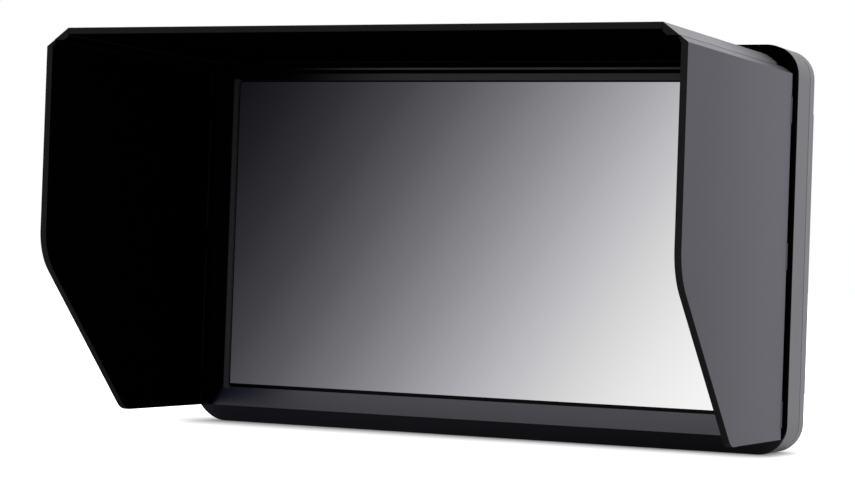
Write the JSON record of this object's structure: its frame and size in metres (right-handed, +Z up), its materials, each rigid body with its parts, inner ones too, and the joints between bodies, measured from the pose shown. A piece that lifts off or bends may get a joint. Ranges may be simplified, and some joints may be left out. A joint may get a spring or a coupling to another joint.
{
  "type": "camera field monitor",
  "caption": "Camera field monitor with a folding three-sided sun hood, top keys, tripod thread and a rear battery plate",
  "frame": {"origin": "mouth of the tripod thread, in the middle of the underside", "axes": "+X to the right as seen from in front of the screen, +Y from the screen to the back, +Z up"},
  "size_m": [0.176, 0.1148, 0.1086],
  "materials": {
    "bezel_black": "satin black moulded plastic",
    "hood_black": "fine grained black moulded plastic",
    "hood_strip": "fine grained black moulded plastic",
    "body_grey": "satin grey paint on cast aluminium",
    "screen": "semi-gloss polariser over glass",
    "foam": "black foam",
    "acrylic": "clear moulded light guide",
    "led": "light emitting diodes on a white strip",
    "sheet_steel": "galvanised sheet",
    "sink_metal": "bare extruded aluminium",
    "board_green": "solder mask over glass fibre board",
    "chip_black": "moulded chip packages",
    "screw_steel": "plated screws",
    "screw_black": "black oxide screws",
    "flex_amber": "polyimide film",
    "switch_metal": "stamped switch domes",
    "port_metal": "nickel plated shell",
    "jack_black": "moulded socket body",
    "insert_steel": "turned steel",
    "plate_black": "textured black moulded plastic",
    "contact_brass": "gold flashed blades",
    "slider_black": "ribbed black plastic",
    "spring_steel": "drawn wire",
    "key_black": "soft black key caps",
    "pin_steel": "drawn pins"
  },
  "bodies": {
    "monitor": {"front_bezel": "bezel_black", "lcd_gasket": "foam", "lcd_panel": "screen", "light_guide": "acrylic", "led_strip": "led", "backlight_tray": "sheet_steel", "chassis_plate": "sheet_steel", "main_board": "board_green", "board_chips": "chip_black", "board_screws": "screw_steel", "heat_sink": "sink_metal", "display_flex": "flex_amber", "key_board": "board_green", "key_switches": "switch_metal", "key_flex": "flex_amber", "hdmi_input": "port_metal", "hdmi_output": "port_metal", "headphone_jack": "jack_black", "power_jack": "jack_black", "middle_frame": "body_grey", "tripod_insert": "insert_steel", "rear_cover": "body_grey", "cover_screws": "screw_black", "battery_plate": "plate_black", "plate_screws": "screw_black", "battery_contacts": "contact_brass", "release_spring": "spring_steel", "hood_frame": "bezel_black", "left_hinge_pin": "pin_steel", "right_hinge_pin": "pin_steel", "top_hinge_pin": "pin_steel"},
    "left_panel": {"hood_left": "hood_black"},
    "right_panel": {"hood_right": "hood_black"},
    "top_panel": {"hood_top": "hood_black", "hood_corner_left": "hood_strip", "hood_corner_right": "hood_strip"},
    "battery_release": {"release_slider": "slider_black"},
    "power_key_cap": {"power_key": "key_black"},
    "input_key_cap": {"input_key": "key_black"},
    "menu_key_cap": {"menu_key": "key_black"},
    "minus_key_cap": {"minus_key": "key_black"},
    "plus_key_cap": {"plus_key": "key_black"},
    "exit_key_cap": {"exit_key": "key_black"},
    "function_key_cap": {"function_key": "key_black"}
  },
  "joints": [
    {"name": "fold_left", "type": "hinge", "parent": "monitor", "child": "left_panel", "pos_m": [-0.0862, -0.0094, 0.052], "axis": [0, 0, 1], "range_deg": [0, 90]},
    {"name": "fold_right", "type": "hinge", "parent": "monitor", "child": "right_panel", "pos_m": [0.0862, -0.0094, 0.052], "axis": [0, 0, -1], "range_deg": [0, 90]},
    {"name": "fold_top", "type": "hinge", "parent": "monitor", "child": "top_panel", "pos_m": [0, -0.01295, 0.1038], "axis": [1, 0, 0], "range_deg": [0, 90]},
    {"name": "slide_release", "type": "slide", "parent": "monitor", "child": "battery_release", "axis": [0, 0, -1], "range_m": [0, 0.004], "stiffness_N_per_m": 300, "deforming": ["release_spring"]},
    {"name": "press_power", "type": "slide", "parent": "monitor", "child": "power_key_cap", "axis": [0, 0, -1], "range_m": [0, 0.0005], "stiffness_N_per_m": 3000},
    {"name": "press_input", "type": "slide", "parent": "monitor", "child": "input_key_cap", "axis": [0, 0, -1], "range_m": [0, 0.0005], "stiffness_N_per_m": 3000},
    {"name": "press_menu", "type": "slide", "parent": "monitor", "child": "menu_key_cap", "axis": [0, 0, -1], "range_m": [0, 0.0005], "stiffness_N_per_m": 3000},
    {"name": "press_minus", "type": "slide", "parent": "monitor", "child": "minus_key_cap", "axis": [0, 0, -1], "range_m": [0, 0.0005], "stiffness_N_per_m": 3000},
    {"name": "press_plus", "type": "slide", "parent": "monitor", "child": "plus_key_cap", "axis": [0, 0, -1], "range_m": [0, 0.0005], "stiffness_N_per_m": 3000},
    {"name": "press_exit", "type": "slide", "parent": "monitor", "child": "exit_key_cap", "axis": [0, 0, -1], "range_m": [0, 0.0005], "stiffness_N_per_m": 3000},
    {"name": "press_function", "type": "slide", "parent": "monitor", "child": "function_key_cap", "axis": [0, 0, -1], "range_m": [0, 0.0005], "stiffness_N_per_m": 3000}
  ]
}
